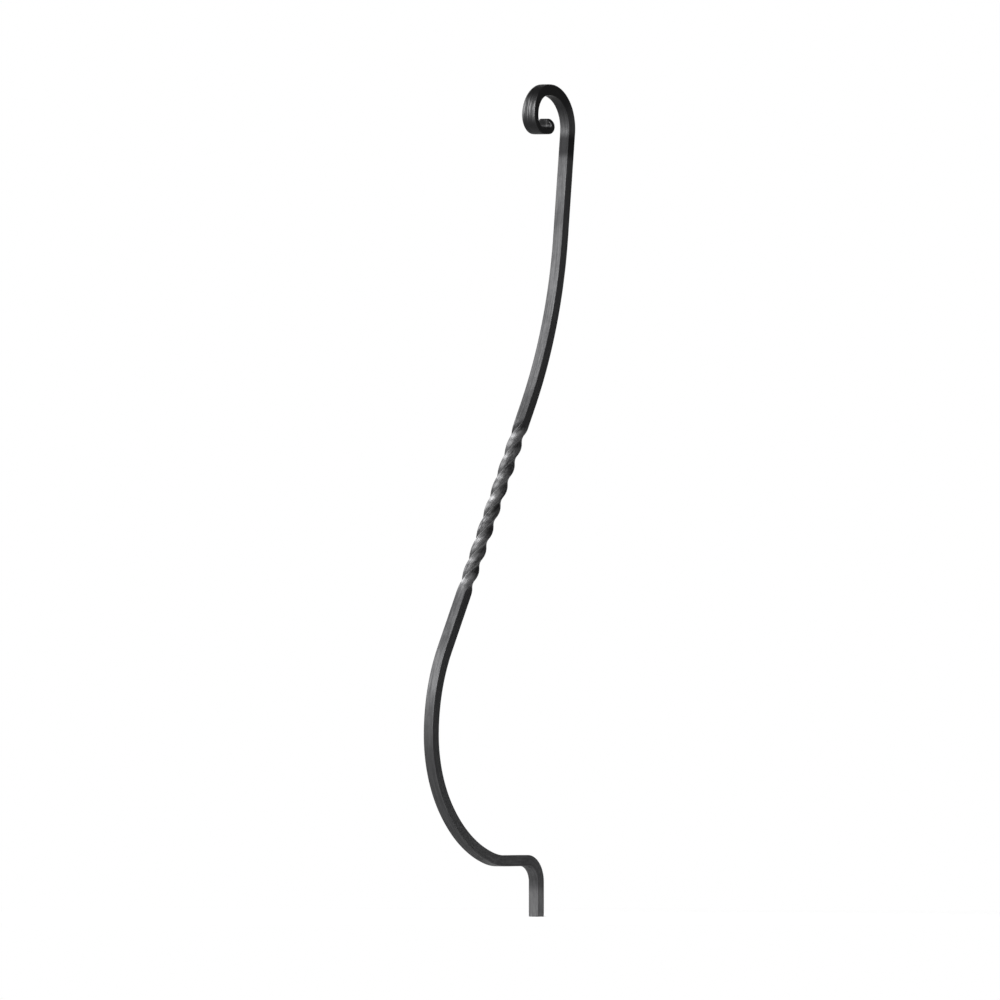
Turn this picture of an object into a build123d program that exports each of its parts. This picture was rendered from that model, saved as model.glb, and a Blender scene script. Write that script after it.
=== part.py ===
from build123d import *
import math
import os

# Curved twisted baluster, forged from one length of square bar.
# Millimetres and degrees. The bar's middle line lies in the XZ plane, +Z is up, and the
# origin is the centre of the sawn end face of the foot. The belly swings out towards -X.

# Square bar with its four long edges broken
bar_side = 12.0
bar_edge_bevel = 0.7
foot_end_bevel = 0.8

# Foot, cranked over to the level run
foot_length = 37.5
foot_bend_radius = 23.2
run_length = 43.0

# Belly: turned up from the run, rolled round its widest point, leaning back towards +X
belly_toe_radius = 81.0
belly_toe_angle = 14.6
belly_lower_radius = 150.0
belly_lower_angle = 38.8
belly_side_radius = 131.0
belly_upper_radius = 183.0
waist_lean_angle = 30.4

# Straight waist with the twist, which starts and stops gently over the ease length
waist_plain_below = 66.0
twist_length = 220.0
twist_turns = 2.0
twist_ease = 12.0
waist_plain_above = 18.0

# Upper counter curve and the plain neck
upper_radius = 470.0
upper_angle = 23.8
neck_length = 112.15

# Scroll: each stretch is rolled on a smaller radius than the one before
shoulder_radius = 42.0
side_radius = 28.0
under_radius = 17.0
tip_radius = 14.0
tip_angle = 85.0

# Flattened end of the scroll, a leaf that thins out to a rounded tip
leaf_width = 17.5
leaf_thickness = 8.2
leaf_edge_bevel = 1.5
tip_thickness = 6.0
tip_depth = 6.0
tip_rim_bevel = 0.8

# Guide of the twist
guide_radius = 1.0
guide_points_per_turn = 32


def bar_profile(width, thickness, bevel):
    """Rectangle with its four corners bevelled, drawn in the sketch that is open."""
    Rectangle(width, thickness)
    chamfer(vertices(), bevel)


def section_plane(route, end):
    """Plane square to a route's start (0) or end (1), with its x axis along +Y."""
    return Plane(origin=route @ end, x_dir=(0, 1, 0), z_dir=route % end)


def twist_angle(distance):
    """Angle in radians that the bar has turned at a distance along the twist.

    The rate grows evenly over the ease length, stays constant and dies away again.
    """
    full_turn = 2 * math.pi * twist_turns
    rate = full_turn / (twist_length - twist_ease)
    if distance < twist_ease:
        return rate * distance**2 / (2 * twist_ease)
    if distance > twist_length - twist_ease:
        return full_turn - rate * (twist_length - distance) ** 2 / (2 * twist_ease)
    return rate * (distance - twist_ease / 2)


def guide_point(distance):
    """Point of the twist's guide at a distance along the twist's own z axis."""
    angle = twist_angle(distance)
    return (guide_radius * math.cos(angle), guide_radius * math.sin(angle), distance)


# Middle line of the bar, stretch by stretch
with BuildLine(Plane.XZ) as lower_route:
    foot = Line((0, 0), (0, foot_length))
    foot_bend = JernArc(foot @ 1, foot % 1, foot_bend_radius, 90)
    run = Line(foot_bend @ 1, foot_bend @ 1 + run_length * (foot_bend % 1))
    belly_toe = JernArc(run @ 1, run % 1, belly_toe_radius, -belly_toe_angle)
    belly_lower = JernArc(belly_toe @ 1, belly_toe % 1, belly_lower_radius, -belly_lower_angle)
    belly_side_angle = 90 - belly_toe_angle - belly_lower_angle
    belly_side = JernArc(belly_lower @ 1, belly_lower % 1, belly_side_radius, -belly_side_angle)
    belly_upper = JernArc(belly_side @ 1, belly_side % 1, belly_upper_radius, -waist_lean_angle)
    waist_below = Line(belly_upper @ 1, belly_upper @ 1 + waist_plain_below * (belly_upper % 1))

with BuildLine(Plane.XZ) as twist_route:
    twist_line = Line(waist_below @ 1, waist_below @ 1 + twist_length * (waist_below % 1))

with BuildLine(Plane.XZ) as upper_route:
    waist_above = Line(twist_line @ 1, twist_line @ 1 + waist_plain_above * (twist_line % 1))
    upper_curve = JernArc(waist_above @ 1, waist_above % 1, upper_radius, upper_angle)
    neck = Line(upper_curve @ 1, upper_curve @ 1 + neck_length * (upper_curve % 1))
    shoulder_angle = 90 + waist_lean_angle - upper_angle
    shoulder = JernArc(neck @ 1, neck % 1, shoulder_radius, shoulder_angle)

with BuildLine(Plane.XZ) as flare_route:
    side = JernArc(shoulder @ 1, shoulder % 1, side_radius, 90)

with BuildLine(Plane.XZ) as leaf_route:
    under = JernArc(side @ 1, side % 1, under_radius, 90)
    tip = JernArc(under @ 1, under % 1, tip_radius, tip_angle)

# Twisted waist, made standing on the XY plane and set on the waist's line afterwards
guide_count = round(guide_points_per_turn * twist_turns)
with BuildLine() as twist_guide:
    Spline(
        [guide_point(twist_length * i / guide_count) for i in range(guide_count + 1)],
        tangents=[(0, 0, 1), (0, 0, 1)],
    )
with BuildLine() as twist_axis:
    Line((0, 0, 0), (0, 0, twist_length))
with BuildPart() as twist:
    with BuildSketch(Plane.XY):
        bar_profile(bar_side, bar_side, bar_edge_bevel)
    sweep(path=twist_axis.wires()[0], binormal=twist_guide.wires()[0])

# Flat leaf that rolls under and up to its tip, which is rounded off like a tongue
with BuildPart() as leaf:
    with BuildSketch(section_plane(under, 0)):
        bar_profile(leaf_width, leaf_thickness, leaf_edge_bevel)
    with BuildSketch(section_plane(tip, 1)):
        bar_profile(leaf_width, tip_thickness, leaf_edge_bevel)
    sweep(path=leaf_route.wires()[0], multisection=True)
    tip_normal = (tip % 1).cross(Vector(0, 1, 0))
    with BuildSketch(Plane(origin=tip @ 1, x_dir=(0, 1, 0), z_dir=tip_normal)):
        Rectangle(2 * leaf_width, tip_depth, align=(Align.CENTER, Align.MIN))
        with Locations((0, tip_depth)):
            Ellipse(leaf_width / 2, tip_depth, mode=Mode.SUBTRACT)
    extrude(amount=leaf_thickness, both=True, mode=Mode.SUBTRACT)
    tip_rim = faces().filter_by(GeomType.EXTRUSION)
    chamfer(tip_rim.edges() & (faces() - tip_rim).edges(), tip_rim_bevel)

with BuildPart() as baluster:
    # Foot, crank, run and belly up to the twist
    with BuildSketch(section_plane(foot, 0)):
        bar_profile(bar_side, bar_side, bar_edge_bevel)
    sweep(path=lower_route.wires()[0])

    # Twisted waist
    add(twist.part.moved(Location(section_plane(twist_line, 0))))

    # Upper curve, neck and the shoulder of the scroll
    with BuildSketch(section_plane(waist_above, 0)):
        bar_profile(bar_side, bar_side, bar_edge_bevel)
    sweep(path=upper_route.wires()[0])

    # Side of the scroll, drawn out from the square bar to the flat leaf
    with BuildSketch(section_plane(side, 0)):
        bar_profile(bar_side, bar_side, bar_edge_bevel)
    with BuildSketch(section_plane(side, 1)):
        bar_profile(leaf_width, leaf_thickness, leaf_edge_bevel)
    sweep(path=flare_route.wires()[0], multisection=True)

    # Leaf
    add(leaf.part)

    # Sawn foot with its burr taken off
    chamfer(faces().sort_by(Axis.Z)[0].edges(), foot_end_bevel)

baluster.part.label = "baluster"

os.makedirs("parts", exist_ok=True)
export_step(baluster.part, "parts/baluster.step")

box = baluster.part.bounding_box()
print("size", box.size, "from", box.min, "to", box.max)
print("volume", baluster.part.volume, "solids", len(baluster.part.solids()))
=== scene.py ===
"""Curved twisted baluster, dressed as raw forged steel.

The bar is one surface: a rounded square profile carried along the middle line of the
CAD model, turned through the twist and drawn out into the leaf of the scroll. Lengths
are metres and angles are degrees, unless a name says otherwise.
"""

import logging
import math
from dataclasses import dataclass
from enum import Enum
from functools import cache

import bpy
import numpy as np
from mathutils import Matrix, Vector

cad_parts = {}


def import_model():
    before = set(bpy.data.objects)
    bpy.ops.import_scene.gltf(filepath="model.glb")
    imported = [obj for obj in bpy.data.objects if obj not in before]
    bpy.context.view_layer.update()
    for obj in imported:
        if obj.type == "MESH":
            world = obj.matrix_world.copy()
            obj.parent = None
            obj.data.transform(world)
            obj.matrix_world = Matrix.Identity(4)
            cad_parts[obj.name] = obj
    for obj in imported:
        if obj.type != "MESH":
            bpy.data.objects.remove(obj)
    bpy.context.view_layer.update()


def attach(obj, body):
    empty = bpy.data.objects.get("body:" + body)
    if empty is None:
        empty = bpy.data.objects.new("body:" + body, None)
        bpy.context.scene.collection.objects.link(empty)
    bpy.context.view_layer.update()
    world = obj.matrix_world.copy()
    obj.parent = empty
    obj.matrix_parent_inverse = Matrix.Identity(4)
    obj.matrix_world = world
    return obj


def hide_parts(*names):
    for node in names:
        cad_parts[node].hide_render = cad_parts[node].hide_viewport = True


LOG = logging.getLogger("baluster")
MM = 0.001

Array = np.ndarray
Pair = tuple[float, float]
Triple = tuple[float, float, float]
Colour = tuple[float, float, float, float]
Range = tuple[float, float, float, float]


class Stage(Enum):
    """The things round the baluster that aren't part of it."""

    FLOOR = "studio_floor"
    LOWER_CARD = "lower_card"
    UPPER_CARD = "upper_card"
    CEILING_CARD = "ceiling_card"
    FLOOR_CARD = "floor_card"


class Finish(Enum):
    """The two finishes that the bar carries."""

    FORGED = "forged_skin"
    SAWN = "sawn_end"


@dataclass(frozen=True)
class Stretch:
    """One stretch of the bar's middle line, straight or on one radius.

    Args:
        name: what a smith would call the stretch.
        length: length of the middle line.
        turn: how far the line turns over the length, anticlockwise seen from the front.
        step: distance between two rings of the mesh.
    """

    name: str
    length: float
    turn: float = 0.0
    step: float = 2.0 * MM

    @classmethod
    def bend(cls, name: str, radius: float, turn: float, step: float) -> "Stretch":
        """Returns a stretch that turns through an angle on a radius."""
        return cls(name, abs(math.radians(turn)) * radius, turn, step)


@dataclass(frozen=True)
class MiddleLine:
    """The bar's middle line in the XZ plane, starting upwards at the foot.

    Args:
        stretches: the stretches in order, from the foot to the tip of the scroll.
    """

    stretches: tuple[Stretch, ...]

    @property
    def starts(self) -> Array:
        """Distance along the line at which each stretch starts, and the total length."""
        return np.concatenate([[0.0], np.cumsum([s.length for s in self.stretches])])

    @property
    def length(self) -> float:
        """Length of the whole line."""
        return float(self.starts[-1])

    def span(self, name: str) -> Pair:
        """Returns the distances at which a named stretch starts and ends."""
        index = [s.name for s in self.stretches].index(name)
        return float(self.starts[index]), float(self.starts[index + 1])

    @staticmethod
    def _chord(length: Array, turn: Array, heading: Array) -> Array:
        """Offset over an arc: its chord, laid at the heading plus half the turn.

        The chord is the arc's length times sin(half the turn) over half the turn, which
        is the length itself on a straight.

        Args:
            length: arc lengths.
            turn: turns over those lengths, in radians.
            heading: headings at their starts, in radians from +X.

        Returns:
            Array of x and z offsets, one row for each arc.
        """
        chord = length * np.sinc(turn / (2.0 * np.pi))
        middle = heading + turn / 2.0
        return np.stack([chord * np.cos(middle), chord * np.sin(middle)], axis=-1)

    def follow(self, distance: Array) -> tuple[Array, Array]:
        """Place and heading at each distance along the line.

        Args:
            distance: distances from the foot.

        Returns:
            Points of shape (n, 2) in x and z, and headings in radians from +X.
        """
        length = np.array([s.length for s in self.stretches])
        turn = np.radians([s.turn for s in self.stretches])
        heading = np.pi / 2.0 + np.concatenate([[0.0], np.cumsum(turn)[:-1]])
        corner = np.concatenate(
            [[[0.0, 0.0]], np.cumsum(self._chord(length, turn, heading), axis=0)[:-1]]
        )
        index = np.searchsorted(self.starts[1:-1], distance, side="right")
        local = distance - self.starts[index]
        part = turn[index] * local / length[index]
        point = corner[index] + self._chord(local, part, heading[index])
        return point, heading[index] + part

    def rings(self) -> Array:
        """Distances of the mesh's rings: each stretch is divided evenly at its own step."""
        runs = [
            np.linspace(a, b, max(2, round(s.length / s.step)), endpoint=False)
            for s, a, b in zip(self.stretches, self.starts[:-1], self.starts[1:])
        ]
        return np.concatenate(runs)


def smooth(value: Array) -> Array:
    """Returns a ramp from 0 to 1 with level ends: three squares less two cubes."""
    held = np.clip(value, 0.0, 1.0)
    return held * held * (3.0 - 2.0 * held)


def quarter_round(distance: Array, depth: float) -> Array:
    """Rise of a quarter ellipse: 0 at its edge and 1 from the depth inwards.

    Args:
        distance: distances inwards from the edge.
        depth: distance over which the rounding runs.

    Returns:
        The square root of one less the square of what is left of the depth.
    """
    left = 1.0 - np.clip(distance / depth, 0.0, 1.0)
    return np.sqrt(np.clip(1.0 - left * left, 0.0, 1.0))


def new_object(name: str, data: bpy.types.ID) -> bpy.types.Object:
    """Returns a new object with the data, in the scene and at its origin."""
    made = bpy.data.objects.new(name, data)
    bpy.context.scene.collection.objects.link(made)
    return made


@dataclass(frozen=True)
class Profile:
    """Rounded rectangle whose size changes along the bar.

    A point of it is an inner corner plus an arc: (inner point) times (half size less
    radius) plus (outward direction) times (radius less any dent).

    Args:
        arc_points: points round each corner.
        side_places: where the points of a flat side lie, from 0 to 1.
        arc_near: nearness to the edge where a corner's arc ends.
        near_fade: power with which it dies away along the flat sides.
    """

    arc_points: int = 8
    side_places: tuple[float, ...] = (0.07, 0.2, 0.36, 0.5, 0.64, 0.8, 0.93)
    arc_near: float = 0.8
    near_fade: int = 6

    def pattern(self) -> tuple[Array, Array, Array]:
        """Inner corners, outward directions and edge nearness of the profile's points.

        Returns:
            Two arrays of shape (m, 2), anticlockwise, and one of shape (m,) that is 1 in
            the middle of a corner and dies away along the flat sides.
        """
        corners = np.array([[1, 1], [-1, 1], [-1, -1], [1, -1]], float)
        swing = np.linspace(0.0, np.pi / 2.0, self.arc_points)
        places = np.array(self.side_places)
        inner, outward, near = [], [], []
        for k in range(4):
            angle = swing + k * np.pi / 2.0
            arc = np.stack([np.cos(angle), np.sin(angle)], axis=-1)
            inner.append(np.repeat(corners[k][None], self.arc_points, axis=0))
            outward.append(arc)
            near.append(self.arc_near + (1.0 - self.arc_near) * np.sin(2.0 * swing))
            ahead = corners[(k + 1) % 4]
            inner.append(corners[k] + places[:, None] * (ahead - corners[k]))
            outward.append(np.repeat(arc[-1][None], len(places), axis=0))
            near.append(self.arc_near * np.abs(2.0 * places - 1.0) ** self.near_fade)
        return np.concatenate(inner), np.concatenate(outward), np.concatenate(near)


@dataclass(frozen=True)
class Ridges:
    """The lengthwise grooves that the fuller left in the outer face of the leaf.

    Args:
        depth: depth of the grooves.
        waves: grooves across the face.
        fade: length over which they grow, and over which they die away.
        ahead: how far before the side of the scroll they begin.
        clear: how far before the tip they have died away.
        wander: how far they wander sideways, in radians of their waves.
        wander_length: length over which they wander there and back.
        wander_phase: where in that wandering the foot lies, in radians.
    """

    depth: float = 0.28 * MM
    waves: float = 3.0
    fade: float = 24.0 * MM
    ahead: float = 12.0 * MM
    clear: float = 4.0 * MM
    wander: float = 0.9
    wander_length: float = 38.0 * MM
    wander_phase: float = 0.6

    def depths(self, line: MiddleLine, distance: Array, inner: Array, outward: Array) -> Array:
        """Depth of the grooves at each point of the skin.

        The grooves are wandering waves across the face, as one less their cosine.

        Args:
            line: the bar's middle line.
            distance: distances along it.
            inner: the profile's inner corners.
            outward: the profile's outward directions.

        Returns:
            Array of shape (rings, points).
        """
        start, end = line.span("side")[0], line.length
        grown = smooth((distance - start + self.ahead) / self.fade)
        grown = grown * smooth((end - distance - self.clear) / self.fade)
        swing = 2.0 * np.pi * distance / self.wander_length + self.wander_phase
        aside = self.wander * np.sin(swing)
        wave = self.waves * np.pi * inner[None, :, 0] + aside[:, None]
        outside = np.clip(-outward[None, :, 1], 0.0, 1.0) ** 2
        return self.depth * grown[:, None] * outside * (0.5 - 0.5 * np.cos(wave))


@dataclass(frozen=True)
class ForgeMarksAndPaintedLight:
    """Marks of the forge, tongs and hammer, and painted shade and light on the scroll.

    A mark that grows is given by how far past the start of its stretch it begins, and
    by the length over which it reaches its full strength.

    Args:
        twist_fade: length over which the wear of the twisting starts and stops.
        fire_and_shade: growth of thick scale and painted shade, past the shoulder's start.
        fire_and_shade_share: how much of the skin that dark scale and painted shade cover.
        tongs: where the tongs held the bar, and the length over which their mark fades.
        tongs_reach: how far that mark reaches, in such lengths.
        drawn: growth of the hammer's streaks and painted sheen, past the start of the side.
        drawn_end: their end, past the start of the underside, and the length it takes.
        lit_patch: growth of painted light on the tip's inner face, past the tip bend's start.
        lit_patch_side: share lit in the tip's middle, and what the near side adds to it.
        lit_patch_share: how strong the painted light is against the hammer's streaks.
    """

    twist_fade: float = 10.0 * MM
    fire_and_shade: Pair = (8.0 * MM, 30.0 * MM)
    fire_and_shade_share: float = 0.92
    tongs: Pair = (1.0175, 0.011)
    tongs_reach: float = 1.6
    drawn: Pair = (18.0 * MM, 18.0 * MM)
    drawn_end: Pair = (8.0 * MM, 10.0 * MM)
    lit_patch: Pair = (3.0 * MM, 4.0 * MM)
    lit_patch_side: Pair = (0.45, 2.0)
    lit_patch_share: float = 0.9

    @staticmethod
    def _growth(distance: Array, start: float, mark: Pair) -> Array:
        """Returns a mark's strength along the bar, past the start of its stretch."""
        return smooth((distance - start - mark[0]) / mark[1])

    def shares(self, line: MiddleLine, distance: Array, outward: Array, across: Array) -> Array:
        """The marks on each point of the skin, as three shares.

        The first is thick forge scale, which grows round the shoulder of the scroll, is
        thick where the tongs held the bar and, over the scroll, also paints its shade. The
        second is the wear of the twisting. The third is the hammer's streaks on the leaf's
        outer face with painted sheen, and painted light on the near side of the tip's inner face.

        Args:
            line: the bar's middle line.
            distance: distances along it.
            outward: the profile's outward directions.
            across: sideways places on the leaf, from -1 to 1.

        Returns:
            Array of shape (rings, points, 3).
        """
        start, stop = line.span("twist")
        twisted = smooth((distance - start) / self.twist_fade)
        twisted = twisted * smooth((stop - distance) / self.twist_fade)
        shoulder, side = line.span("shoulder")
        held = smooth(self.tongs_reach - np.abs(distance - self.tongs[0]) / self.tongs[1])
        # Dark scale over the whole scroll, which also paints the scroll's shade.
        burnt_and_shade = self._growth(distance, shoulder, self.fire_and_shade)
        fire_and_shade = np.maximum(self.fire_and_shade_share * burnt_and_shade, held)
        # Lighter hammer streaks on the outer face where the scroll's side faces the light: partly
        # painted sheen.
        left = line.span("under")[0] + self.drawn_end[0] - distance
        drawn = self._growth(distance, side, self.drawn) * smooth(left / self.drawn_end[1])
        struck_and_sheen = drawn[:, None] * np.clip(-outward[None, :, 1], 0.0, 1.0)
        # Painted light: the near side of the tip's inner face gets the lighter colour, as if lit,
        # while its far side keeps the dark scale as painted shadow.
        last = self._growth(distance, line.span("tip_bend")[0], self.lit_patch)
        nearer = smooth(self.lit_patch_side[0] - self.lit_patch_side[1] * across)
        nearer = np.clip(outward[None, :, 1], 0.0, 1.0) * nearer
        struck_and_sheen = np.maximum(struck_and_sheen, self.lit_patch_share * last[:, None] * nearer)
        wide = np.ones_like(struck_and_sheen)
        return np.stack([fire_and_shade[:, None] * wide, twisted[:, None] * wide, struck_and_sheen], axis=-1)


# The CAD model's middle line up to the scroll's base, and a tip that bends more sharply
STRETCHES = (
    Stretch("foot", 37.5 * MM),
    Stretch.bend("crank", 23.2 * MM, 90.0, 0.8 * MM),
    Stretch("run", 43.0 * MM),
    Stretch.bend("belly_toe", 81.0 * MM, -14.6, 1.5 * MM),
    Stretch.bend("belly_lower", 150.0 * MM, -38.8, 1.8 * MM),
    Stretch.bend("belly_side", 131.0 * MM, -36.6, 1.8 * MM),
    Stretch.bend("belly_upper", 183.0 * MM, -30.4, 1.8 * MM),
    Stretch("waist_below", 66.0 * MM),
    Stretch("twist", 220.0 * MM, 0.0, 0.7 * MM),
    Stretch("waist_above", 18.0 * MM, 0.0, 1.5 * MM),
    Stretch.bend("upper", 470.0 * MM, 23.8, 2.0 * MM),
    Stretch("neck", 112.15 * MM),
    Stretch.bend("shoulder", 42.0 * MM, 96.6, 0.8 * MM),
    Stretch.bend("side", 28.0 * MM, 90.0, 0.6 * MM),
    Stretch.bend("under", 17.0 * MM, 90.0, 0.45 * MM),
    Stretch("base", 8.0 * MM, 0.0, 0.6 * MM),
    Stretch.bend("tip_bend", 7.0 * MM, 101.0, 0.25 * MM),
    Stretch("tip", 5.4 * MM, 0.0, 0.4 * MM),
)


@dataclass
class ForgedBar:
    """The baluster: its sizes, the methods that build its surface and its dressing.

    Args:
        side: side of the square bar.
        edge_radius: rounding of the bar's long edges.
        foot_round: rounding at the sawn end of the foot.
        twist_turns: full turns of the twist, right-handed.
        twist_ease: length over which the twist starts and stops.
        leaf_width: width of the flattened end.
        leaf_thickness: thickness of the leaf where it starts.
        leaf_edge_radius: rounding of the leaf's long edges.
        tip_thickness: thickness of the leaf at its tip.
        tip_near: length and depth of the rounding of the tip's near corner.
        tip_far: length and depth of the rounding of the tip's far corner.
        tip_round: rounding of the tongue's rim.
        rim_left: share of the thickness that is left at the rim.
        most_round: most that an edge's radius is of the smaller size.
        dent: depth of the hammer's marks on the plain bar.
        leaf_dent: depth of the hammer's marks on the leaf.
        dent_growth: how fast marks deepen along the scroll's side, and their head start.
        dent_limit: most that a mark is of the edge's radius.
        dent_seed: seed of the marks' random phases.
        cleaned: length of the foot that was cleaned when it was sawn.
        cleaned_fade: length over which the cleaning ends.
        end_rings: rings in the roundings at the foot and at the tip.
        ridges: the grooves in the leaf.
        marks: forge, tong and hammer marks, and painted shade and light.
        profile: the bar's rounded profile.
        line: the bar's middle line.
    """

    side: float = 12.0 * MM
    edge_radius: float = 0.45 * MM
    foot_round: float = 0.8 * MM
    twist_turns: float = 2.0
    twist_ease: float = 12.0 * MM
    leaf_width: float = 17.5 * MM
    leaf_thickness: float = 8.2 * MM
    leaf_edge_radius: float = 1.3 * MM
    tip_thickness: float = 6.0 * MM
    tip_near: Pair = (11.6 * MM, 9.4 * MM)
    tip_far: Pair = (0.5 * MM, 0.5 * MM)
    tip_round: float = 1.0 * MM
    rim_left: float = 0.05
    most_round: float = 0.49
    dent: float = 0.06 * MM
    leaf_dent: float = 0.22 * MM
    dent_growth: Pair = (1.4, 0.5)
    dent_limit: float = 0.6
    dent_seed: int = 12
    cleaned: float = 36.0 * MM
    cleaned_fade: float = 12.0 * MM
    end_rings: tuple[int, int] = (6, 44)
    ridges: Ridges = Ridges()
    marks: ForgeMarksAndPaintedLight = ForgeMarksAndPaintedLight()
    profile: Profile = Profile()
    line: MiddleLine = MiddleLine(STRETCHES)

    def distances(self) -> Array:
        """Ring distances, crowded into the roundings at the foot and at the tip.

        Inside each rounding the rings follow one less the cosine of an even angle, so
        that they are close together where the surface turns fastest.
        """
        end = self.line.length
        even = self.line.rings()
        reach = self.tip_near[0]
        even = even[(even > self.foot_round) & (even < end - reach)]
        at_foot, at_tip = (np.linspace(0.0, np.pi / 2.0, count) for count in self.end_rings)
        foot = self.foot_round * (1.0 - np.cos(at_foot))
        tip = end - reach * (1.0 - np.sin(at_tip))
        return np.concatenate([foot, even, tip])

    def sizes(self, distance: Array) -> dict[str, Array]:
        """Width, sideways shift, thickness, edge radius and dent depth of each ring.

        Width and thickness pass from bar to leaf over the side of the scroll on a ramp
        that is half even and half smooth, the leaf thins evenly to its tip, and both
        shrink on quarter rounds at the ends. The tip's two corners are rounded unevenly,
        so its rings move sideways by half of what the near corner loses over the far one.

        Args:
            distance: distances along the middle line.

        Returns:
            Arrays by the names width, shift, thickness, radius and dent.
        """
        start, stop = self.line.span("side")
        end = self.line.length
        along = (distance - start) / (stop - start)
        flare = 0.5 * np.clip(along, 0.0, 1.0) + 0.5 * smooth(along)
        thin = np.clip((distance - stop) / (end - stop), 0.0, 1.0)
        width = self.side + (self.leaf_width - self.side) * flare
        thick = self.side + (self.leaf_thickness - self.side) * flare
        thick = thick + (self.tip_thickness - self.leaf_thickness) * thin
        foot = self.edge_radius * (1.0 - quarter_round(distance, self.foot_round))
        left = end - distance
        near = self.tip_near[1] * (1.0 - quarter_round(left, self.tip_near[0]))
        far = self.tip_far[1] * (1.0 - quarter_round(left, self.tip_far[0]))
        rim = quarter_round(left, self.tip_round)
        width = width - 2.0 * foot - near - far
        thick = (thick - 2.0 * foot) * np.maximum(rim, self.rim_left)
        radius = self.edge_radius + (self.leaf_edge_radius - self.edge_radius) * flare
        radius = np.minimum(radius, self.most_round * np.minimum(width, thick))
        speed, already = self.dent_growth
        dent = self.dent + (self.leaf_dent - self.dent) * smooth(along * speed + already)
        dent = dent * smooth(left / self.tip_near[0])
        shift = (near - far) / 2.0
        return dict(width=width, shift=shift, thickness=thick, radius=radius, dent=dent)

    def twist(self, distance: Array) -> Array:
        """Angle in radians that each ring is turned about the middle line.

        The rate of turning grows evenly over the ease, holds, and dies away again, so
        the angle is a parabola, a straight and a parabola.
        """
        start, stop = self.line.span("twist")
        span, ease = stop - start, self.twist_ease
        full = 2.0 * np.pi * self.twist_turns
        rate = full / (span - ease)
        along = np.clip(distance - start, 0.0, span)
        first = rate * along**2 / (2.0 * ease)
        last = full - rate * (span - along) ** 2 / (2.0 * ease)
        middle = rate * (along - ease / 2.0)
        return np.where(along < ease, first, np.where(along > span - ease, last, middle))

    def hammering(self, distance: Array, points: int) -> Array:
        """Shallow, uneven marks of the hammer, from 0 to 1 of the dent depth.

        Sines of different lengths along the bar and whole waves round it are added up
        with seeded phases and brought into the range from 0 to 1.

        Args:
            distance: distances along the middle line.
            points: points round the profile.

        Returns:
            Array of shape (rings, points).
        """
        dice = np.random.default_rng(self.dent_seed)
        lengths = np.array([47.0, 31.0, 19.0, 13.0, 8.5, 6.1]) * MM
        waves = np.array([1.0, 2.0, 4.0, 3.0, 6.0, 5.0])
        shares = np.array([0.25, 0.25, 0.2, 0.15, 0.1, 0.05])
        swirl = 0.7
        phases = dice.uniform(0.0, 2.0 * np.pi, (2, len(lengths)))
        round_bar = np.linspace(0.0, 2.0 * np.pi, points, endpoint=False)
        along = 2.0 * np.pi * distance[:, None, None] / lengths + phases[0]
        across = waves * round_bar[None, :, None] + phases[1]
        waviness = np.sin(along + swirl * np.sin(across)) * np.cos(across)
        return 0.5 + 0.5 * (waviness * shares).sum(axis=-1)

    def surface(self) -> dict[str, Array]:
        """The whole skin of the bar as arrays.

        A point is the middle line's point, plus its profile's x along +Y, plus its
        profile's y along the line's own normal, after the twist has turned both.

        Returns:
            The points, and the mesh's attributes by their names.
        """
        distance = self.distances()
        size = self.sizes(distance)
        inner, outward, near = self.profile.pattern()
        half = np.stack([size["width"], size["thickness"]], axis=-1) / 2.0
        radius = size["radius"][:, None, None]
        dents = size["dent"][:, None] * self.hammering(distance, len(inner))
        dents = dents + self.ridges.depths(self.line, distance, inner, outward)
        dents = np.minimum(dents, self.dent_limit * size["radius"][:, None])[..., None]
        flat = inner * (half[:, None, :] - radius) + outward * (radius - dents)
        flat[..., 0] += size["shift"][:, None]
        angle = self.twist(distance)
        cos, sin = np.cos(angle)[:, None], np.sin(angle)[:, None]
        across = flat[..., 0] * cos - flat[..., 1] * sin
        normal = flat[..., 0] * sin + flat[..., 1] * cos
        centre, heading = self.line.follow(distance)
        points = np.stack(
            [
                centre[:, 0, None] - normal * np.sin(heading)[:, None],
                across,
                centre[:, 1, None] + normal * np.cos(heading)[:, None],
            ],
            axis=-1,
        )
        depth = np.broadcast_to(distance[:, None, None], (*flat.shape[:2], 1))
        clean = smooth((self.cleaned - distance) / self.cleaned_fade)
        sideways = flat[..., 0] / self.leaf_width * 2.0
        return {
            "points": points,
            "straight_bar": np.concatenate([flat, depth], axis=-1),
            "bar_near": np.broadcast_to(near, flat.shape[:2]),
            "bar_clean": np.broadcast_to(clean[:, None], flat.shape[:2]),
            # Forge marks, with the painted shade and light on the scroll.
            "forge_marks_and_painted_light": self.marks.shares(self.line, distance, outward, sideways),
        }

    @staticmethod
    def skin_faces(rings: int, points: int) -> tuple[Array, Array]:
        """Corner indices of the skin between the rings, and of the two end caps.

        Each quadrangle takes a ring's point, the next one round it, and the same two on
        the ring above, so that it faces outwards.

        Args:
            rings: number of rings.
            points: points round each ring.

        Returns:
            Array of shape (quads, 4), and array of shape (2, points) for the caps.
        """
        ring, point = np.meshgrid(np.arange(rings - 1), np.arange(points), indexing="ij")
        ahead = (point + 1) % points
        low, high = ring * points, (ring + 1) * points
        quads = np.stack([low + point, low + ahead, high + ahead, high + point], axis=-1)
        loop = np.arange(points)
        return quads.reshape(-1, 4), np.stack([loop[::-1], (rings - 1) * points + loop])

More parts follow.
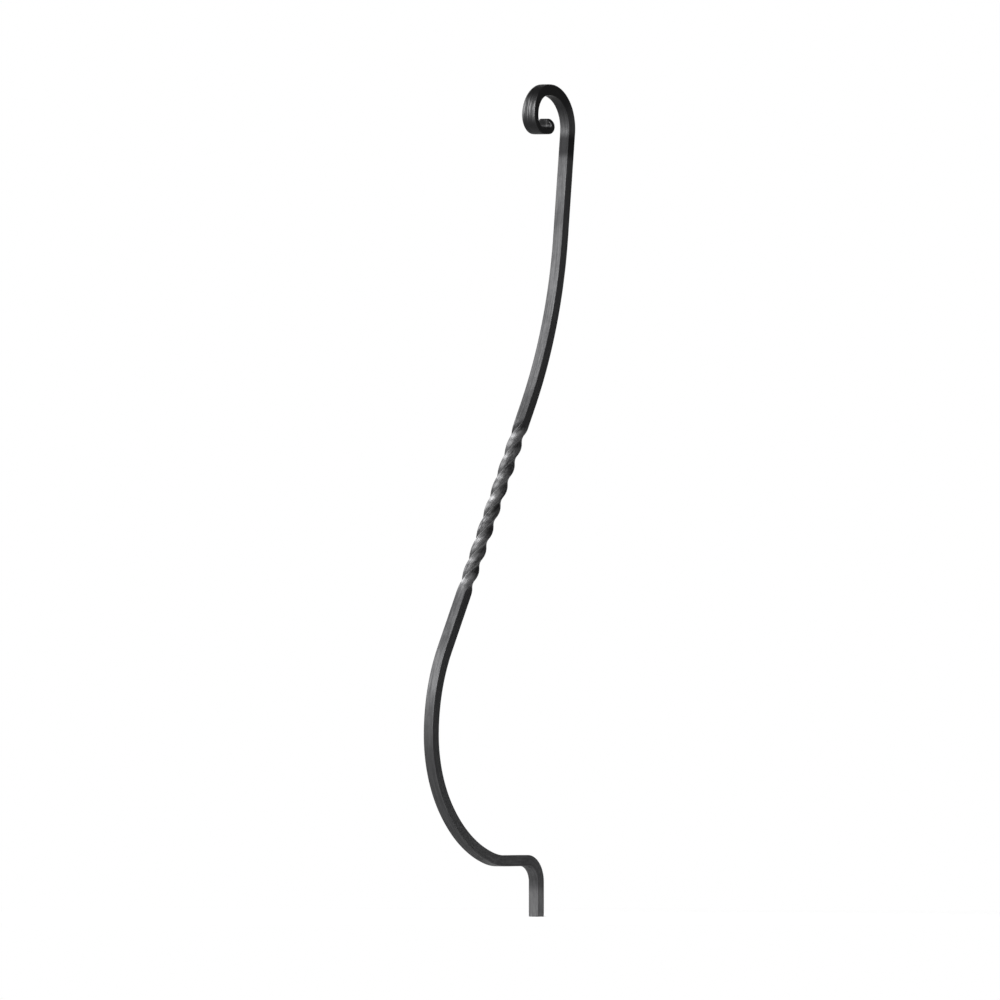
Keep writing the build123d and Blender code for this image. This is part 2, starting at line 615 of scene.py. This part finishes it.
    def build(self) -> bpy.types.Object:
        """Makes the bar's mesh, with the straightened bar, the wear and the painted light as
        attributes.

        Returns:
            The new object, at the origin.
        """
        skin = self.surface()
        rings, points = skin["points"].shape[:2]
        quads, caps = self.skin_faces(rings, points)
        sawn_cap = len(quads)
        mesh = bpy.data.meshes.new("forged_bar")
        mesh.from_pydata(skin["points"].reshape(-1, 3), [], quads.tolist() + caps.tolist())
        for name in ("straight_bar", "forge_marks_and_painted_light", "bar_near", "bar_clean"):
            values = skin[name].astype(np.float32)
            kind, key = ("FLOAT", "value") if values.ndim == 2 else ("FLOAT_VECTOR", "vector")
            mark = mesh.attributes.new(name, kind, "POINT")
            mark.data.foreach_set(key, values.ravel())
        around = np.broadcast_to(np.arange(points) / points, (rings, points))
        along = np.broadcast_to(skin["straight_bar"][:, :1, 2], (rings, points))
        grid = np.stack([around, along], axis=-1).reshape(-1, 2)
        corner = np.zeros(len(mesh.loops), np.int64)
        mesh.loops.foreach_get("vertex_index", corner)
        unwrapped = grid[corner]
        # The last quadrangle of each ring closes it, so its far corners lie at 1
        seam = np.arange(len(quads) * 4).reshape(-1, 4)[points - 1 :: points, 1:3]
        unwrapped[seam.ravel(), 0] = 1.0
        layer = mesh.uv_layers.new(name="round_and_along")
        layer.data.foreach_set("uv", unwrapped.astype(np.float32).ravel())
        mesh.polygons.foreach_set("use_smooth", np.ones(len(mesh.polygons), bool))
        slots = np.zeros(len(mesh.polygons), np.int32)
        slots[sawn_cap] = 1
        mesh.polygons.foreach_set("material_index", slots)
        mesh.update()
        return new_object("forged_bar", mesh)

    def dress(self, piece: bpy.types.Object) -> None:
        """Gives the bar its forged skin, and the foot's end its sawn face."""
        piece.data.materials.append(ForgedSkin().material())
        piece.data.materials.append(SawnFace().material())
        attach(piece, "root")
        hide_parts("baluster")


Socket = bpy.types.NodeSocket
Given = Socket | float | tuple[float, ...]
VECTOR, FLOAT = "NodeSocketVector", "NodeSocketFloat"


class NodeSheet:
    """A node tree with short ways to add nodes and join them."""

    def __init__(self, tree: bpy.types.NodeTree) -> None:
        """Takes the tree to draw on."""
        self.tree = tree

    def add(
        self, kind: str, inputs: dict[int | str, Given] | None = None, **settings: object
    ) -> bpy.types.Node:
        """Adds a node.

        Args:
            kind: Blender's name of the node's type.
            inputs: values, or sockets to join, by input name or index.
            **settings: the node's own properties.

        Returns:
            The node.
        """
        node = self.tree.nodes.new(kind)
        for name, value in settings.items():
            setattr(node, name, value)
        for key, value in (inputs or {}).items():
            self.join(value, node.inputs[key])
        return node

    def join(self, value: Given, target: Socket) -> None:
        """Joins a socket to the target, or sets the target to a plain value."""
        if isinstance(value, Socket):
            self.tree.links.new(value, target)
        else:
            target.default_value = value

    def math(self, kind: str, a: Given, b: Given) -> Socket:
        """Returns the result of a Math node on two values."""
        return self.add("ShaderNodeMath", {0: a, 1: b}, operation=kind).outputs[0]

    def blend(self, a: Given, b: Given, share: float) -> Socket:
        """Returns value a with a share of value b, as the sum of their two parts."""
        rest = self.math("MULTIPLY", a, 1.0 - share)
        return self.math("ADD", rest, self.math("MULTIPLY", b, share))

    def attribute(self, name: str, output: str = "Fac") -> Socket:
        """Returns one of the mesh's attributes."""
        return self.add("ShaderNodeAttribute", attribute_name=name).outputs[output]

    def group(self, tree: bpy.types.NodeTree, *inputs: Given) -> list[Socket]:
        """Returns the outputs of a node group that is given its inputs in order."""
        node = self.add("ShaderNodeGroup", dict(enumerate(inputs)), node_tree=tree)
        return list(node.outputs)

    def bump(self, height: Given, depth: float, strength: float, **over: Given) -> Socket:
        """Returns a normal that follows a height, over another Normal if it is given."""
        inputs = {"Height": height, "Distance": depth, "Strength": strength, **over}
        return self.add("ShaderNodeBump", inputs).outputs[0]

    def noise(self, place: Given, waves: Triple, detail: float, rough: float) -> Socket:
        """Returns a noise from 0 to 1, with a number of waves per metre for each axis."""
        scaled = self.add("ShaderNodeVectorMath", {0: place, 1: waves}, operation="MULTIPLY")
        inputs = {"Vector": scaled.outputs[0], "Scale": 1.0, "Detail": detail, "Roughness": rough}
        return self.add("ShaderNodeTexNoise", inputs).outputs[0]

    def ramp(self, value: Given, low: Given, high: Given, a: Given, b: Given) -> Socket:
        """Returns a value's range low to high turned smoothly into the range a to b."""
        inputs = {"Value": value, "From Min": low, "From Max": high, "To Min": a, "To Max": b}
        return self.add("ShaderNodeMapRange", inputs, interpolation_type="SMOOTHSTEP").outputs[0]

    def tint(self, share: Given, a: Given, b: Given) -> Socket:
        """Returns colour a with a share of colour b."""
        inputs = {0: share, 6: a, 7: b}
        return self.add("ShaderNodeMix", inputs, data_type="RGBA").outputs[2]

    def glow(self, shade: float) -> Socket:
        """Returns an even grey glow, where 1 is white."""
        inputs = {"Color": (shade, shade, shade, 1.0), "Strength": 1.0}
        return self.add("ShaderNodeEmission", inputs).outputs[0]

    def metal(self, colour: Given, rough: Given, normal: Given, more: dict[str, Given]) -> None:
        """Ends the sheet with a metal of these looks, and of more inputs by name."""
        looks = {"Base Color": colour, "Metallic": 1.0, "Roughness": rough, "Normal": normal}
        shader = self.add("ShaderNodeBsdfPrincipled", looks | more)
        self.add("ShaderNodeOutputMaterial", {"Surface": shader.outputs[0]})


def node_group(
    name: str, inputs: dict[str, str], outputs: dict[str, str]
) -> tuple[NodeSheet, bpy.types.Node, bpy.types.Node]:
    """Starts a shader node group with named sockets.

    Args:
        name: the group's name.
        inputs: socket types by name.
        outputs: socket types by name.

    Returns:
        The group's sheet, its input node and its output node.
    """
    tree = bpy.data.node_groups.new(name, "ShaderNodeTree")
    for key, kind in inputs.items():
        tree.interface.new_socket(key, in_out="INPUT", socket_type=kind)
    for key, kind in outputs.items():
        tree.interface.new_socket(key, in_out="OUTPUT", socket_type=kind)
    sheet = NodeSheet(tree)
    return sheet, sheet.add("NodeGroupInput"), sheet.add("NodeGroupOutput")


def blank_material(name: str) -> tuple[bpy.types.Material, NodeSheet]:
    """Returns a new material with no nodes, and the sheet to draw them on."""
    made = bpy.data.materials.new(name)
    made.use_nodes = True
    made.node_tree.nodes.clear()
    return made, NodeSheet(made.node_tree)


class SteelEffects:
    """Node groups that both finishes share, each built once.

    The scales of the noises are in waves per metre: across the bar twice, then along it.
    An edge is bare from where its nearness and its patches add up to the wear's start
    less the amount of wear.
    """

    CLOUDS: Triple = (95.0, 95.0, 34.0)
    SPECKS: Triple = (520.0, 520.0, 300.0)
    SPECK_SHARE = 0.3
    STREAKS: Triple = (620.0, 620.0, 22.0)
    HAIRS: Triple = (2100.0, 2100.0, 60.0)
    HAIR_SHARE = 0.4
    STREAK_ENDS: Pair = (0.36, 0.64)
    PATCHES: Triple = (300.0, 300.0, 70.0)
    PATCH_SHARE = 0.7
    WEAR_START = 1.55
    WEAR_FADE = 0.35

    @classmethod
    @cache
    def scale_mottle(cls) -> bpy.types.NodeTree:
        """Clouds of thick and thin forge scale: two noises, a broad and a fine one."""
        sheet, given, made = node_group(
            "scale_mottle", {"Place": VECTOR, "Contrast": FLOAT}, {"Scale": FLOAT}
        )
        broad = sheet.noise(given.outputs[0], cls.CLOUDS, 4.0, 0.6)
        fine = sheet.noise(given.outputs[0], cls.SPECKS, 3.0, 0.6)
        both = sheet.blend(broad, fine, cls.SPECK_SHARE)
        high = sheet.math("ADD", 0.5, given.outputs[1])
        low = sheet.math("SUBTRACT", 0.5, given.outputs[1])
        sheet.join(sheet.ramp(both, low, high, 0.0, 1.0), made.inputs[0])
        return sheet.tree

    @classmethod
    @cache
    def drawn_streaks(cls) -> bpy.types.NodeTree:
        """Fine lines along the bar: noises stretched lengthwise, two widths of them."""
        sheet, given, made = node_group(
            "drawn_streaks", {"Place": VECTOR}, {"Streak": FLOAT, "Height": FLOAT}
        )
        wide = sheet.noise(given.outputs[0], cls.STREAKS, 3.0, 0.55)
        thin = sheet.noise(given.outputs[0], cls.HAIRS, 2.0, 0.5)
        both = sheet.blend(wide, thin, cls.HAIR_SHARE)
        sheet.join(sheet.ramp(both, *cls.STREAK_ENDS, 0.0, 1.0), made.inputs[0])
        sheet.join(both, made.inputs[1])
        return sheet.tree

    @classmethod
    @cache
    def edge_wear(cls) -> bpy.types.NodeTree:
        """Bare metal along the edges: nearness to an edge, broken up by a noise."""
        sheet, given, made = node_group(
            "edge_wear", {"Place": VECTOR, "Near": FLOAT, "Amount": FLOAT}, {"Wear": FLOAT}
        )
        patch = sheet.noise(given.outputs[0], cls.PATCHES, 4.0, 0.65)
        patch = sheet.math("MULTIPLY", patch, cls.PATCH_SHARE)
        reach = sheet.math("ADD", given.outputs[1], patch)
        start = sheet.math("SUBTRACT", cls.WEAR_START, given.outputs[2])
        stop = sheet.math("ADD", start, cls.WEAR_FADE)
        sheet.join(sheet.ramp(reach, start, stop, 0.0, 1.0), made.inputs[0])
        return sheet.tree


@dataclass(frozen=True)
class ForgedSkin:
    """Raw forged steel: dark scale, lighter drawn streaks, bare edges, painted shade and light.

    A range gives two values of a noise, and the two shares that they stand for.

    Args:
        dark: colour of thick scale.
        light: colour of thin scale.
        burnt_and_shade: colour of the scroll's thick scale and painted shade, and of the twist's
            crusts.
        struck_and_sheen: colour of the hammer's streaks on the leaf, and of its painted sheen and
            light.
        drawn: colour where the twisting cracked the scale off.
        cleaned: colour of the foot where its scale was cleaned off.
        bare: colour of the bare metal at the edges.
        edge_tint: how strongly the scale mirrors at a grazing angle.
        mottle_contrast: half the range of noise that the clouds span.
        line_share: share of the drawn lines in the scale, against its clouds.
        struck_and_sheen_range: how far the streaks and painted sheen show, by the drawn lines.
        cracked_range: how much scale the twisting cracked off, by the scale.
        crust_range: how much burnt scale stayed on the twist, by the clouds.
        cleaned_range: how much of the foot was cleaned, by the scale.
        wear: amount of bare metal on plain edges, and what working adds to it.
        wear_share: how far bare metal covers the scale where it shows.
        roughness: roughness of thin and of thick scale.
        polish: what bare edges and the twisting take off the roughness.
        pit_waves: scale of the small pits, in waves per metre.
        pit_height: height of the small pits in the bump.
        pit_strength: strength of that bump.
        streak_height: height of the streaks in the bump.
        streak_strength: strength of that bump.
    """

    dark: Colour = (0.050, 0.050, 0.052, 1.0)
    light: Colour = (0.118, 0.118, 0.120, 1.0)
    burnt_and_shade: Colour = (0.026, 0.026, 0.027, 1.0)
    struck_and_sheen: Colour = (0.15, 0.15, 0.152, 1.0)
    drawn: Colour = (0.18, 0.18, 0.182, 1.0)
    cleaned: Colour = (0.185, 0.185, 0.187, 1.0)
    bare: Colour = (0.25, 0.25, 0.253, 1.0)
    edge_tint: Colour = (0.6, 0.6, 0.6, 1.0)
    mottle_contrast: float = 0.28
    line_share: float = 0.45
    struck_and_sheen_range: Range = (0.35, 0.9, 0.1, 0.9)
    cracked_range: Range = (0.2, 0.8, 0.1, 0.65)
    crust_range: Range = (0.25, 0.55, 0.75, 0.0)
    cleaned_range: Range = (0.2, 0.9, 0.45, 0.95)
    wear: Pair = (0.14, 0.28)
    wear_share: float = 0.75
    roughness: Pair = (0.36, 0.52)
    polish: Pair = (0.04, 0.03)
    pit_waves: Triple = (420.0, 420.0, 260.0)
    pit_height: float = 0.00022
    pit_strength: float = 0.7
    streak_height: float = 0.00016
    streak_strength: float = 0.8

    def material(self) -> bpy.types.Material:
        """Returns the material: thick scale over thin, then bare metal over both; painted shade
        and light.
        """
        made, sheet = blank_material(Finish.FORGED.value)
        place = sheet.attribute("straight_bar", "Vector")
        marks = sheet.attribute("forge_marks_and_painted_light", "Vector")
        fire_and_shade, twisted, struck_and_sheen = sheet.add("ShaderNodeSeparateXYZ", {0: marks}).outputs
        (clouds,) = sheet.group(SteelEffects.scale_mottle(), place, self.mottle_contrast)
        lines, line_height = sheet.group(SteelEffects.drawn_streaks(), place)
        amount = sheet.math("ADD", sheet.math("MULTIPLY", twisted, self.wear[1]), self.wear[0])
        near = sheet.attribute("bar_near")
        (wear,) = sheet.group(SteelEffects.edge_wear(), place, near, amount)
        scale = sheet.blend(clouds, lines, self.line_share)
        thin = sheet.tint(scale, self.dark, self.light)
        # Thick scale: dark enough to paint the scroll's shade, with lighter streaks that paint
        # sheen on the leaf's lit side and light on the tip's near side.
        streaks_and_sheen = sheet.math("MULTIPLY", struck_and_sheen, sheet.ramp(lines, *self.struck_and_sheen_range))
        thick = sheet.tint(streaks_and_sheen, self.burnt_and_shade, self.struck_and_sheen)
        cracked = sheet.math("MULTIPLY", twisted, sheet.ramp(scale, *self.cracked_range))
        thin = sheet.tint(cracked, thin, self.drawn)
        crusts = sheet.math("MULTIPLY", twisted, sheet.ramp(clouds, *self.crust_range))
        thin = sheet.tint(crusts, thin, self.burnt_and_shade)
        # Dark scale over the scroll, partly painted shade.
        skin = sheet.tint(fire_and_shade, thin, thick)
        clean = sheet.math(
            "MULTIPLY", sheet.attribute("bar_clean"), sheet.ramp(scale, *self.cleaned_range)
        )
        skin = sheet.tint(clean, skin, self.cleaned)
        colour = sheet.tint(sheet.math("MULTIPLY", wear, self.wear_share), skin, self.bare)
        rough = sheet.ramp(scale, 0.0, 1.0, self.roughness[1], self.roughness[0])
        for worked, less in zip((wear, twisted), self.polish):
            rough = sheet.math("SUBTRACT", rough, sheet.math("MULTIPLY", worked, less))
        pits = sheet.noise(place, self.pit_waves, 4.0, 0.6)
        pitted = sheet.bump(pits, self.pit_height, self.pit_strength)
        normal = sheet.bump(line_height, self.streak_height, self.streak_strength, Normal=pitted)
        sheet.metal(colour, rough, normal, {"Specular Tint": self.edge_tint})
        return made


@dataclass(frozen=True)
class SawnFace:
    """The foot's end as the saw left it: brighter steel with fine parallel lines.

    Args:
        dark: colour in the saw's lines.
        light: colour between them.
        mottle_contrast: half the range of noise that the clouds span.
        line_waves: scale of the saw's lines, in waves per metre.
        line_height: height of the saw's lines in the bump.
        line_strength: strength of that bump.
        light_range: two values of the lines and clouds, and the shares of light steel.
        rough_range: two values of the lines, and the roughness there.
    """

    dark: Colour = (0.15, 0.15, 0.155, 1.0)
    light: Colour = (0.33, 0.33, 0.335, 1.0)
    mottle_contrast: float = 0.22
    line_waves: Triple = (220.0, 3200.0, 1.0)
    line_height: float = 0.00012
    line_strength: float = 0.8
    light_range: Range = (0.1, 0.5, 0.0, 1.0)
    rough_range: Range = (0.3, 0.7, 0.42, 0.3)

    def material(self) -> bpy.types.Material:
        """Returns the material, built from the saw's lines and the shared scale clouds."""
        made, sheet = blank_material(Finish.SAWN.value)
        place = sheet.attribute("straight_bar", "Vector")
        (clouds,) = sheet.group(SteelEffects.scale_mottle(), place, self.mottle_contrast)
        lines = sheet.noise(place, self.line_waves, 2.0, 0.5)
        share = sheet.math("MULTIPLY", lines, clouds)
        colour = sheet.tint(sheet.ramp(share, *self.light_range), self.dark, self.light)
        normal = sheet.bump(lines, self.line_height, self.line_strength)
        sheet.metal(colour, sheet.ramp(lines, *self.rough_range), normal, {})
        return made


@dataclass(frozen=True)
class SoftLight:
    """One square soft light that looks at the baluster's middle.

    Args:
        name: its name.
        towards: direction from the baluster to the light.
        distance: how far away it stands.
        width: its side.
        power: its power in watts.
        mirrored: whether the steel mirrors it.
    """

    name: str
    towards: Triple
    distance: float
    width: float
    power: float
    mirrored: bool = True

    def build(self, aim: Vector) -> None:
        """Hangs the light and turns it to the aim."""
        lamp = bpy.data.lights.new(self.name, "AREA")
        lamp.shape, lamp.size, lamp.energy = "SQUARE", self.width, self.power
        holder = new_object(self.name, lamp)
        away = Vector(self.towards).normalized()
        holder.location = aim + away * self.distance
        holder.rotation_euler = away.to_track_quat("Z", "Y").to_euler()
        holder.visible_glossy = self.mirrored


@dataclass(frozen=True)
class GreyCard:
    """One flat card of even grey that only reflections in the steel see.

    Args:
        name: its name.
        middle: its middle.
        across: half of its width, as a vector.
        along: half of its length, as a vector.
        shade: how bright it looks, where 1 is white.
    """

    name: Stage
    middle: Triple
    across: Triple
    along: Triple
    shade: float

    def build(self) -> None:
        """Builds the card: its middle plus or minus its two half sides."""
        signs = np.array([[-1.0, -1.0], [1.0, -1.0], [1.0, 1.0], [-1.0, 1.0]])
        points = np.array(self.middle) + signs @ np.array([self.across, self.along])
        mesh = bpy.data.meshes.new(self.name.value)
        mesh.from_pydata(points, [], [(0, 1, 2, 3)])
        made, sheet = blank_material(self.name.value)
        sheet.add("ShaderNodeOutputMaterial", {"Surface": sheet.glow(self.shade)})
        mesh.materials.append(made)
        piece = new_object(self.name.value, mesh)
        piece.visible_camera = piece.visible_shadow = piece.visible_diffuse = False


@dataclass
class Studio:
    """Pale floor, white surroundings, soft lights, grey cards and the long-lens camera.

    Args:
        azimuth: the photograph's viewing angle round the baluster.
        focal_length: the camera's lens, in millimetres.
        sensor_width: width of the camera's sensor, in millimetres.
        clip: distances between which the camera sees.
        picture_height: height of the picture at the baluster.
        picture_centre: where the picture's centre lies, right of the foot and above it.
        floor_radius: radius of the floor.
        floor_points: points round the floor's edge.
        floor_gap: gap between the floor and the foot.
        floor_colour: colour of the floor.
        floor_fade: distances from the foot between which the floor turns white.
        ambient: strength of the surroundings as light.
        lights: the soft lights.
        cards: the grey cards.
    """

    azimuth: float = -54.5
    focal_length: float = 1400.0
    sensor_width: float = 36.0
    clip: Pair = (1.0, 500.0)
    picture_height: float = 1.0811
    picture_centre: Pair = (-0.0393, 0.4503)
    floor_radius: float = 40.0
    floor_points: int = 96
    floor_gap: float = 0.2 * MM
    floor_colour: Colour = (0.93, 0.93, 0.93, 1.0)
    floor_fade: Pair = (0.2, 0.9)
    ambient: float = 0.25
    lights: tuple[SoftLight, ...] = (
        SoftLight("softbox", (-0.62, 0.58, 0.53), 2.6, 1.9, 32.0),
        SoftLight("front", (-0.86, -0.347, 0.375), 2.6, 1.5, 62.0),
        SoftLight("top", (0.05, 0.1, 1.0), 3.0, 2.4, 60.0, mirrored=False),
    )
    cards: tuple[GreyCard, ...] = (
        GreyCard(Stage.LOWER_CARD, (0.847, -0.704, 0.29), (0.77, 0.92, 0.0), (0, 0, 0.28), 0.05),
        GreyCard(Stage.UPPER_CARD, (0.847, -0.704, 1.23), (0.77, 0.92, 0.0), (0, 0, 0.66), 0.29),
        GreyCard(Stage.CEILING_CARD, (0.0, 0.0, 2.7), (2.2, 0.0, 0.0), (0, 2.2, 0.0), 0.3),
        GreyCard(Stage.FLOOR_CARD, (-0.8, 0.55, 0.002), (0.75, 0.0, 0.0), (0, 0.6, 0.0), 0.7),
    )

    def right(self) -> Vector:
        """Returns the direction that points to the picture's right."""
        turn = math.radians(self.azimuth)
        return Vector((math.cos(turn), math.sin(turn), 0.0))

    def back(self) -> Vector:
        """Returns the direction from the baluster to the camera."""
        turn = math.radians(self.azimuth)
        return Vector((math.sin(turn), -math.cos(turn), 0.0))

    def aim(self) -> Vector:
        """Returns the point at the picture's centre, over the baluster's own plane."""
        return self.right() * self.picture_centre[0] + Vector((0, 0, self.picture_centre[1]))

    def camera(self) -> None:
        """Sets up the camera, level, square to the picture and far away."""
        lens = bpy.data.cameras.new("long_lens")
        lens.lens, lens.sensor_width = self.focal_length, self.sensor_width
        lens.clip_start, lens.clip_end = self.clip
        away = self.picture_height * self.focal_length / self.sensor_width
        holder = new_object("long_lens", lens)
        holder.location = self.aim() + self.back() * away
        holder.rotation_euler = self.back().to_track_quat("Z", "Y").to_euler()
        bpy.context.scene.camera = holder

    def surroundings(self) -> None:
        """Makes the world: white where it is seen or mirrored, soft grey as light."""
        world = bpy.data.worlds.new("white_studio")
        world.use_nodes = True
        world.node_tree.nodes.clear()
        sheet = NodeSheet(world.node_tree)
        seen = sheet.math("MULTIPLY", self.shown(sheet), 1.0 - self.ambient)
        strength = sheet.math("ADD", self.ambient, seen)
        light = sheet.add("ShaderNodeBackground", {"Color": (1, 1, 1, 1), "Strength": strength})
        sheet.add("ShaderNodeOutputWorld", {"Surface": light.outputs[0]})
        bpy.context.scene.world = world

    @staticmethod
    def shown(sheet: NodeSheet) -> Socket:
        """Returns 1 for what the camera sees, directly, mirrored or through glass."""
        path = sheet.add("ShaderNodeLightPath")
        first = sheet.math("MAXIMUM", path.outputs["Is Camera Ray"], path.outputs["Is Glossy Ray"])
        return sheet.math("MAXIMUM", first, path.outputs["Is Transmission Ray"])

    def floor(self) -> None:
        """Makes the pale floor, which keeps the shadow and turns white further out.

        The floor is one flat disc, whose points are its radius times the cosine and the
        sine of an even angle.
        """
        turns = np.linspace(0.0, 2.0 * np.pi, self.floor_points, endpoint=False)
        ring = np.stack([np.cos(turns), np.sin(turns), np.zeros_like(turns)], axis=-1)
        points = ring * self.floor_radius - np.array([0.0, 0.0, self.floor_gap])
        mesh = bpy.data.meshes.new(Stage.FLOOR.value)
        mesh.from_pydata(points, [], [list(range(len(points)))])
        mesh.update()
        made, sheet = blank_material("pale_floor")
        place = sheet.add("ShaderNodeTexCoord").outputs["Object"]
        reach = sheet.add("ShaderNodeVectorMath", {0: place}, operation="LENGTH").outputs["Value"]
        plain = sheet.add("ShaderNodeBsdfDiffuse", {"Color": self.floor_colour}).outputs[0]
        outside = sheet.ramp(reach, *self.floor_fade, 0.0, 1.0)
        fade = sheet.math("MULTIPLY", outside, self.shown(sheet))
        shader = sheet.add("ShaderNodeMixShader", {0: fade, 1: plain, 2: sheet.glow(1.0)})
        sheet.add("ShaderNodeOutputMaterial", {"Surface": shader.outputs[0]})
        mesh.materials.append(made)
        piece = new_object(Stage.FLOOR.value, mesh)

    def build(self) -> None:
        """Builds camera, surroundings, floor, cards and lights."""
        self.camera()
        self.surroundings()
        self.floor()
        for card in self.cards:
            card.build()
        for light in self.lights:
            light.build(self.aim())
        bpy.context.scene.view_settings.view_transform = "Standard"


def corners(box: tuple[Vector, Vector]) -> list[list[float]]:
    """Returns a box's two corners as plain lists of numbers."""
    return [[float(value) for value in corner] for corner in box]


def main() -> None:
    """Loads the frame, builds the studio and the baluster, and reports the baluster."""
    logging.basicConfig(level=logging.INFO, format="%(name)s: %(message)s")
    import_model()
    Studio().build()
    bar = ForgedBar()
    piece = bar.build()
    bar.dress(piece)
    triangles = len(piece.data.loops) - 2 * len(piece.data.polygons)
    LOG.info("%s: length %.4f m, %d triangles", piece.name, bar.line.length, triangles)


if __name__ == "__main__":
    main()
